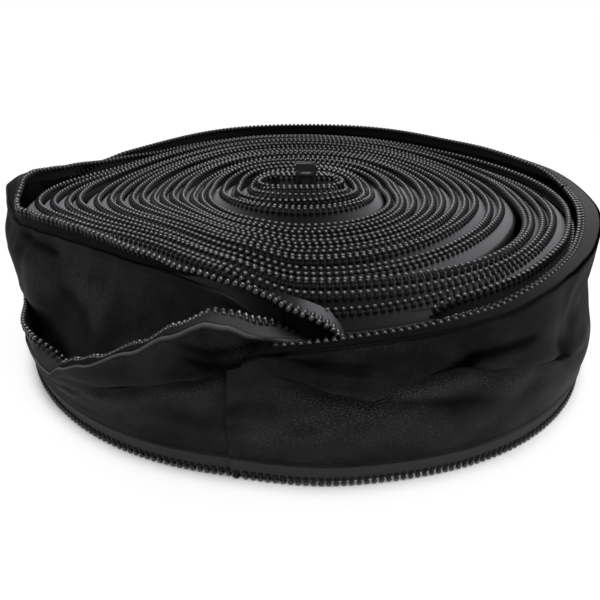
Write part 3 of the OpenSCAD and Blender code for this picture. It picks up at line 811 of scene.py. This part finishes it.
class SLEEVE_OT_leather(bpy.types.Operator):
    """Leather panels between the two tapes, wound on edge"""

    bl_idname = "sleeve.leather"
    bl_label = "Leather panels"

    def execute(self, context):
        s, r = sizes(), roll()
        leather = material_named("black_split_leather", leather_material)
        flat_w = flat_width()
        for k in range(1, r.panels + 2):
            u0 = seam(k - 1)
            u1 = seam(k) if k <= r.panels else r.turns
            outer = u1 > r.turns - FINE_TURNS
            u = stations(u0, u1, FINE_STEP if outer else STEP)[:, None]
            gap = SEAM_HALF / (2 * math.pi * float(radius(np.array(max(u1, 1.0)))))
            u[0] += gap
            u[-1] -= gap
            v = np.linspace(0, 1, FINE_ROWS if outer else ROWS_ACROSS)[None, :]
            u = trimmed(u, v)
            out, z = leather_middle(u, v)
            out = out + wrinkles(u, v) * np.sin(np.pi * v) ** 0.5
            edge = np.minimum(v, 1 - v) * flat_w
            thick = s.leather * (1 + HEM_SWELL * eased(1 - edge / HEM_EDGE)) + 0 * u
            section = thickened(out, z, thick)
            places = there_and_back(u)
            verts, quads = swept(lifted(places, section[..., 0], section[..., 1]))
            across = np.concatenate([v[0], [1.01], v[0][::-1], [-0.01]])[None, :] * flat_w
            b = back(places)
            sunk = eased((b - 290) / 20) * (1 - eased((b - 372) / 12))
            # Paler upper hem edge, a little all along and more where the outer turn is sunk
            pale_marks = (PALE_ALL + PALE_SUNK * sunk) * eased(1 - (flat_w - across) / PALE_EDGE)
            # Painted shade of the folds, and raised nap with a painted highlight below the crease
            painted_shade, nap = self.marks(u, v, z)
            values = {"hem": pale_marks, "fold": there_and_back(painted_shade), "nap": there_and_back(nap)}
            at_end = k > r.panels
            name = "leather_end_panel" if at_end else f"leather_panel_{k}"
            obj = new_piece(name, verts, quads, leather, strip_uv(places, across), values)
            carry(obj, at_end)
            if at_end:
                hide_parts("end_panel", "free_end_panel")
            else:
                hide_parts(f"sleeve_panel_{k}")
        return {"FINISHED"}

    def marks(self, u, v, z):
        """Painted shade in the folds, and how far the nap is raised.

        The painted shade lies along the crease and a little above it, along the small folds and
        right under the upper hem. The nap is raised in the places of DUST, and below the crease as
        a painted highlight.
        """
        a = turn_to(angle(u), 0)
        depth = (z - keyed(a, CREASE, 1) * sizes().width) / MM
        creased = np.clip(bulge(back(u), a) / 5, 0, 1)
        # Painted shade along the crease and a little above it, in the small folds and under the
        # upper hem
        painted_shade = (hump(depth, 5, 4) + 0.3 * hump(depth - 5, 10, 16)) * creased
        painted_shade = painted_shade + np.clip(-folds(u, v) / MM, 0, 1) * 0.7
        painted_shade = painted_shade + 0.8 * eased(1 - (1 - v) * flat_width() / (2 * MM)) * (back(u) < 280)
        # Raised nap in the DUST places, plus paler specks below the crease as a painted highlight
        return painted_shade, dust(u, v) + 0.5 * hump(depth + 9, 7, 6) * creased


def upper_tape_line(u, t):
    """Way out and height along the upper tape; t runs up from its lapped edge, 0 at the hem.

    The lapped part follows the leather. Above the hem the tape turns to its own lean within
    1.4 mm and goes on straight. The place is summed up along the direction.
    """
    share = sizes().tape_lap / flat_width()
    o1, z1 = leather_middle(u, np.ones_like(u))
    o0, z0 = leather_middle(u, np.full_like(u, 1 - share))
    wall = np.arctan2(o1 - o0, z1 - z0)
    _, _, lean = hem(u)
    turn = eased(t / (1.4 * MM))
    direction = wall + (lean - wall) * turn
    step = np.diff(t, axis=1, prepend=t[:, :1])
    mid = (direction + np.roll(direction, 1, axis=1)) / 2
    out = np.cumsum(step * np.sin(mid), axis=1)
    z = np.cumsum(step * np.cos(mid), axis=1)
    hem_i = np.argmin(np.abs(t[0]))
    out = out - out[:, hem_i:hem_i + 1] + o1 - seat() * np.cos(wall)
    z = z - z[:, hem_i:hem_i + 1] + z1 + seat() * np.sin(wall)
    return out, z, direction[:, -1]


def lower_tape_line(u, t):
    """Way out and height along the lower tape; t runs down from its lapped edge, 0 at the hem."""
    z = hem_base() - t + 0 * u
    return foot(u) + 0 * z, z, np.full(len(u), math.pi)


def tape_steps():
    """Places across a tape from its lapped edge, closer together just past the hem."""
    s = sizes()
    lapped = np.linspace(-s.tape_lap, 0, 3)[:-1]
    return np.concatenate([lapped, np.linspace(0, 1, 14) ** 1.5 * s.tape_show])[None, :]


# Edge of the strip, the line of its tape, and the nodes that its wound tape stands for
TAPES = (
    ("upper", upper_tape_line, ("upper_tape_inner_turns", "upper_tape_outer_turns")),
    ("lower", lower_tape_line, ("lower_tape",)),
)


class SLEEVE_OT_tapes(bpy.types.Operator):
    """Woven tapes sewn behind the two hems"""

    bl_idname = "sleeve.tapes"
    bl_label = "Zipper tapes"

    def execute(self, context):
        s, r = sizes(), roll()
        tape = material_named("woven_polyester_tape", tape_material)
        split = seam(r.panels)
        t = tape_steps()
        across = there_and_back(t)
        for edge, line, nodes in TAPES:
            for name, u0, u1, stands_for in (
                (f"{edge}_zip_tape", seam(0), split, nodes),
                (f"{edge}_zip_tape_end", split, r.turns, (f"free_end_{edge}_tape",)),
            ):
                u = trimmed(stations(u0, u1, STEP)[:, None], float(edge == "upper"))
                out, z, _ = line(u, t + 0 * u)
                section = thickened(out, z, np.full_like(out, s.tape))
                verts, quads = swept(lifted(u, section[..., 0], section[..., 1]))
                # Painted light and shade along the tape
                values = {"tone": self.tone(edge, u) + 0 * across}
                obj = new_piece(name, verts, quads, tape, strip_uv(u, across), values)
                carry(obj, name.endswith("end"))
                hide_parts(*stands_for)
        return {"FINISHED"}

    def tone(self, edge, u):
        """Painted light and shade of the weave: the keys' factor, with painted shade at the front
        and painted light at the sides.

        Further in than two turns, the front has painted shade except in the gap at the right.
        """
        a, inward = turn_to(angle(u), 0), back(u) / 360
        front_shade = hump(a, 75, 75) * eased((inward - 2.2) / 0.2)
        front_shade = front_shade * (1 - hump(a - 40, 40, 40) * hump(inward - 7.1, 0.5, 0.7))
        side_light = np.sin(np.radians(a)) ** 2 * eased((inward - 2.2) / 0.4)
        keys = keyed(back(u), HEM_KEYS, 4) if edge == "upper" else np.full_like(u, 0.62)
        return keys * (1.2 - 0.9 * front_shade + 1.8 * side_light)


def tooth_form():
    """One moulded tooth: x along the tape, y across it, z along its reach, 0 at the tip.

    Eight sided rings: a rounded head, a narrow neck and a grip that widens over the tape.
    """
    s = sizes()
    tall = s.reach + s.grip
    # Share of the height down from the tip, width and thickness as shares of the tooth's own
    rows = np.array((
        (0.0, 0.62, 0.55), (0.09, 0.95, 0.92), (0.27, 1.0, 1.0), (0.42, 0.62, 0.86),
        (0.60, 0.7, 0.9), (0.78, 1.0, 1.0), (1.0, 0.92, 0.8),
    ))
    turn = np.radians(22.5 + 45 * np.arange(8))
    corner = np.stack([np.cos(turn), np.sin(turn)], -1) / math.cos(math.radians(22.5))
    x = corner[None, :, 0] * rows[:, 1, None] * s.tooth_w / 2
    y = corner[None, :, 1] * rows[:, 2, None] * s.tooth_t / 2
    z = np.broadcast_to(-rows[:, :1] * tall, x.shape)
    rings = np.stack([x, y, z], -1)
    n, m, _ = rings.shape
    sides = ring_sides(n, m)[:, [0, 3, 2, 1]]
    cap = np.array([(0, 1, 2, 3), (0, 3, 4, 7), (4, 5, 6, 7)])
    return rings.reshape(-1, 3), np.concatenate([sides, cap, (n - 1) * m + cap[:, ::-1]])


def tooth_frames(edge, line, u0, u1):
    """Place and axes of every tooth from u0 to u1.

    The tape's edge is sampled finely, and teeth stand at even lengths along it. The first axis
    runs along the edge, the third along the tape's own direction, the second across both.
    """
    s = sizes()
    u = trimmed(stations(u0, u1, 1.5 * MM)[:, None], float(edge == "upper"))
    out, z, lean = line(u, tape_steps() + 0 * u)
    rim = lifted(u, out[:, -1:], z[:, -1:])[:, 0]
    _, outward = plan(u[:, 0])
    reach = np.concatenate([outward * np.sin(lean)[:, None], np.cos(lean)[:, None]], -1)
    along = run_along(rim)
    want = np.arange(s.pitch / 2, along[-1] - s.pitch / 4, s.pitch)
    at, ahead, behind = (points_at(want + d * s.pitch / 3, along, rim) for d in (0, 1, -1))
    first = unit(ahead - behind)
    rise = points_at(want, along, reach)
    rise = unit(rise - first * (rise * first).sum(1)[:, None])
    return at + rise * s.reach, np.stack([first, np.cross(rise, first), rise], 1)


def copies(form, faces, at, axes):
    """Vertices and faces of one form repeated at every place, turned to its axes."""
    verts = (form[None] @ axes + at[:, None]).reshape(-1, 3)
    quads = (faces[None] + (np.arange(len(at)) * len(form))[:, None, None]).reshape(-1, 4)
    return verts, quads


# Rows of teeth: name of the piece and ending of the node that it stands for
ROWS = (
    ("core", "inner_end"), ("inner_turns", "inner_turns"), ("middle_turns", "middle_turns"),
    ("outer_turns", "outer_turn"), ("free_end", "free_end"),
)
# Turns where one row gives way to the next
ROW_CUTS = (11.0, 16.5, 20.8)
# First tooth after the inner end; degrees without teeth at the outer end of each edge
FIRST_TOOTH = 3.2 * MM
END_SPACE = {"upper": 7.5, "lower": 1.6}
# End stop against a tooth, along the tape, across it and along its reach; degrees it takes up
STOP_SIZE = (1.3, 1.1, 0.9)
STOP_SPACE = 1.3


class SLEEVE_OT_teeth(bpy.types.Operator):
    """Moulded teeth along both tapes"""

    bl_idname = "sleeve.teeth"
    bl_label = "Zipper teeth"

    def execute(self, context):
        s, r = sizes(), roll()
        plastic = material_named("moulded_acetal", teeth_material)
        form, faces = tooth_form()
        head = eased((form[:, 2] / (s.reach + s.grip) + 0.5) / 0.2)
        first = seam(0) + FIRST_TOOTH / (2 * math.pi * r.core)
        cuts = [first, *ROW_CUTS, seam(r.panels), r.turns]
        for edge, line, _ in TAPES:
            for i, (part, ending) in enumerate(ROWS):
                at_end = part == "free_end"
                stop = cuts[i + 1] - at_end * END_SPACE[edge] / 360
                at, axes = tooth_frames(edge, line, cuts[i], stop)
                verts, quads = copies(form, faces, at, axes)
                # Painted shade makes the heads darker and less glossy towards the back, and teeth
                # that lie flat get paler, glossier sides as a painted highlight
                back_shade = 1 - 0.6 * eased(at[:, 1:2] / (120 * MM))
                lying_highlight = eased((0.6 - axes[:, 2, 2:]) / 0.4) * (edge == "upper")
                values = {"head": np.maximum(head, 0.5 * lying_highlight) * back_shade}
                name = f"{edge}_zip_teeth_{part}"
                obj = new_piece(name, verts, quads, plastic, None, values)
                carry(obj, at_end)
                # The lower row has no node of its own for the middle turns
                node = f"{edge}_teeth_{ending}"
                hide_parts(*([node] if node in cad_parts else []))
            # The stop sits on the tape right after the last tooth
            at, axes = tooth_frames(edge, line, stop, stop + STOP_SPACE / 360)
            verts, quads = copies(form * STOP_SIZE, faces, at[:1], axes[:1])
            obj = new_piece(f"{edge}_end_stop", verts, quads, plastic)
            carry(obj, True)
            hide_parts(f"outer_{edge}_stop")
        return {"FINISHED"}


# Half the thread's thickness, way of the seam from the hem, and outer turns that show stitches
THREAD_HALF, STITCH_INSET, STITCHED_TURNS = 0.25 * MM, 2.6 * MM, 3.1


class SLEEVE_OT_stitches(bpy.types.Operator):
    """Stitches that hold the tapes to the leather on the outer turns"""

    bl_idname = "sleeve.stitches"
    bl_label = "Hem stitches"

    def execute(self, context):
        s, r = sizes(), roll()
        thread = material_named("polyester_thread", thread_material)
        # One stitch: five rings of six points, pinched at its ends
        turn = np.radians(60 * np.arange(6))
        rows = np.array(((-1.0, 0.35), (-0.6, 0.9), (0.0, 1.0), (0.6, 0.9), (1.0, 0.35)))
        form = np.stack([
            np.broadcast_to(rows[:, :1] * s.stitch * 0.4, (5, 6)),
            rows[:, 1:] * THREAD_HALF * np.cos(turn)[None],
            rows[:, 1:] * THREAD_HALF * np.sin(turn)[None],
        ], -1).reshape(-1, 3)
        cap = np.array([(0, 1, 2, 3), (0, 3, 4, 5)])
        faces = np.concatenate([ring_sides(5, 6), cap[:, ::-1], 24 + cap])
        inset = STITCH_INSET / flat_width()
        for edge, v in (("upper", 1 - inset), ("lower", inset)):
            for name, u0, u1 in (
                (f"{edge}_hem_stitches", r.turns - STITCHED_TURNS, seam(r.panels)),
                (f"{edge}_hem_stitches_end", seam(r.panels), r.turns - 0.001),
            ):
                u = trimmed(stations(u0, u1, 1.7 * MM)[:, None], v)
                vv = np.full_like(u, v)
                out, z = leather_middle(u, vv)
                out = out + wrinkles(u, vv) * np.sin(np.pi * vv) ** 0.5 + s.leather * 0.5
                path = lifted(u, out, z)[:, 0]
                along = run_along(path)
                want = np.arange(s.stitch / 2, along[-1], s.stitch)
                at, ahead = (points_at(want + d, along, path) for d in (0, s.stitch / 3))
                first = unit(ahead - at)
                up = unit(np.array((0.0, 0.0, 1.0)) - first * first[:, 2:])
                axes = np.stack([first, np.cross(up, first), up], 1)
                verts, quads = copies(form, faces, at, axes)
                carry(new_piece(name, verts, quads, thread), name.endswith("end"))
        return {"FINISHED"}


class SLEEVE_OT_slider(bpy.types.Operator):
    """Finish of the slider, its pull tab and the inner stops"""

    bl_idname = "sleeve.slider"
    bl_label = "Slider and stops"

    def execute(self, context):
        zinc = material_named("painted_zinc", slider_material)
        plastic = material_named("moulded_acetal", teeth_material)
        for name, material in (
            ("slider_body", zinc), ("pull_tab", zinc),
            ("inner_upper_stop", plastic), ("inner_lower_stop", plastic),
        ):
            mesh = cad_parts[name].data
            mesh.materials.clear()
            mesh.materials.append(material)
        return {"FINISHED"}


# Lamps: place, aim, size in metres and power in watts
LAMPS = (
    ("top_softbox", (0.15, -0.1, 1.6), (0, 0, 0.1), 1.2, 38),
    ("back_softbox", (-0.2, 1.6, 1.15), (0, 0, 0.1), 1.2, 4),
    ("left_softbox", (-1.4, -0.9, 1.0), (0, 0, 0.05), 0.9, 3),
    ("right_softbox", (1.5, -0.7, 0.9), (0, 0, 0.05), 0.9, 6),
)
# Camera: place, pitch from straight down in degrees, focal length as a share of the sensor
CAMERA_AT = (0, -0.4273, 0.2174)
CAMERA_PITCH = 64.3
FOCAL_SHARE = 653 / 600
SENSOR_MM = 36


class SLEEVE_OT_stage(bpy.types.Operator):
    """Pale floor, white surroundings, soft lamps and the camera"""

    bl_idname = "sleeve.stage"
    bl_label = "Stage"

    def execute(self, context):
        scene = context.scene
        scene.view_settings.view_transform = "Standard"
        self.floor()
        self.world(scene)
        for lamp in LAMPS:
            self.lamp(scene, *lamp)
        lens = bpy.data.cameras.new("camera")
        lens.sensor_width = SENSOR_MM
        lens.lens = SENSOR_MM * FOCAL_SHARE
        lens.clip_start = 0.01
        camera = bpy.data.objects.new("camera", lens)
        camera.location = CAMERA_AT
        camera.rotation_euler = (math.radians(CAMERA_PITCH), 0, 0)
        scene.collection.objects.link(camera)
        scene.camera = camera
        return {"FINISHED"}

    def floor(self):
        """Flat square, 12 m wide. It looks white by itself, except close to the part, where the
        matt paper shows its shade."""
        side = np.linspace(-6, 6, 5)
        x, y = np.meshgrid(side, side)
        verts = np.stack([x, y, np.full_like(x, -0.0002)], -1).reshape(-1, 3)
        i, j = np.meshgrid(np.arange(4), np.arange(4), indexing="ij")
        a = (i * 5 + j).ravel()
        quads = np.stack([a, a + 1, a + 6, a + 5], -1)
        material, tree, principled = shader(
            "matt_studio_paper", colours().floor, Roughness=0.9, Specular_IOR_Level=0.1
        )
        seen = add(tree, "ShaderNodeLightPath").node.outputs
        direct = add(
            tree, "ShaderNodeMath", (seen["Is Camera Ray"], seen["Is Glossy Ray"]),
            operation="MAXIMUM",
        )
        clear = add(
            tree, "ShaderNodeMath", (direct, seen["Is Transmission Ray"]), operation="MAXIMUM"
        )
        # The paper's own shade shows close to the part, a tenth of it beyond, none from 0.8 m on
        open_floor = add(tree, "ShaderNodeAmbientOcclusion", out="AO", Distance=0.02)
        shown = add(
            tree, "ShaderNodeMapRange", interpolation_type="SMOOTHSTEP",
            Value=open_floor, From_Min=0.35, From_Max=0.8, To_Max=0.9,
        )
        place = add(tree, "ShaderNodeTexCoord", out="Object")
        far = add(tree, "ShaderNodeVectorMath", (place,), out="Value", operation="LENGTH")
        away = add(
            tree, "ShaderNodeMapRange", interpolation_type="SMOOTHSTEP",
            Value=far, From_Min=0.3, From_Max=0.8,
        )
        pale = add(tree, "ShaderNodeMath", (shown, away), operation="MAXIMUM")
        share = add(tree, "ShaderNodeMath", (clear, pale), operation="MULTIPLY")
        white = add(tree, "ShaderNodeEmission", Strength=1.0)
        mix = add(tree, "ShaderNodeMixShader", (share, principled.outputs[0], white))
        fill(tree, tree.nodes["Material Output"], Surface=mix)
        new_piece("floor", verts, quads, material, smooth=False)

    def world(self, scene):
        """White to the camera and through clear pieces; a dimmer grey light elsewhere."""
        world = bpy.data.worlds.new("studio")
        world.use_nodes = True
        tree = world.node_tree
        seen = add(tree, "ShaderNodeLightPath").node.outputs
        direct = add(
            tree, "ShaderNodeMath", (seen["Is Camera Ray"], seen["Is Transmission Ray"]),
            operation="MAXIMUM",
        )
        strength = add(tree, "ShaderNodeMapRange", Value=direct, To_Min=0.22, To_Max=1.0)
        fill(tree, tree.nodes["Background"], Color=(1, 1, 1, 1), Strength=strength)
        scene.world = world

    def lamp(self, scene, name, place, aim, size, power):
        """Square area lamp turned towards its aim."""
        light = bpy.data.lights.new(name, "AREA")
        light.size = size
        light.energy = power
        obj = bpy.data.objects.new(name, light)
        obj.location = place
        to = [b - a for a, b in zip(place, aim)]
        flat = math.hypot(to[0], to[1])
        obj.rotation_euler = (math.atan2(flat, -to[2]), 0, math.atan2(to[1], to[0]) - math.pi / 2)
        scene.collection.objects.link(obj)


class SLEEVE_PT_panel(bpy.types.Panel):
    """Sizes, colours and steps of the sleeve"""

    bl_label = "Cable Sleeve"
    bl_idname = "SLEEVE_PT_panel"
    bl_space_type = "VIEW_3D"
    bl_region_type = "UI"
    bl_category = "Sleeve"

    def draw(self, context):
        for group in (sizes(), roll(), colours()):
            for name in group.__annotations__:
                self.layout.prop(group, name)
        for step in STEPS:
            self.layout.operator(step.bl_idname)


STEPS = (
    SLEEVE_OT_stage, SLEEVE_OT_leather, SLEEVE_OT_tapes, SLEEVE_OT_teeth, SLEEVE_OT_stitches,
    SLEEVE_OT_slider,
)
GROUPS = {"sleeve_sizes": SleeveSizes, "sleeve_roll": RollShape, "sleeve_colours": SleeveColours}


def register():
    for cls in (*GROUPS.values(), *STEPS, SLEEVE_PT_panel):
        bpy.utils.register_class(cls)
    for name, group in GROUPS.items():
        setattr(bpy.types.Scene, name, PointerProperty(type=group))


def unregister():
    for name in GROUPS:
        delattr(bpy.types.Scene, name)
    for cls in (SLEEVE_PT_panel, *reversed(STEPS), *reversed(GROUPS.values())):
        bpy.utils.unregister_class(cls)


def main():
    register()
    bpy.ops.sleeve.stage()
    bpy.ops.sleeve.leather()
    bpy.ops.sleeve.tapes()
    bpy.ops.sleeve.teeth()
    bpy.ops.sleeve.stitches()
    bpy.ops.sleeve.slider()


if __name__ == "__main__":
    main()
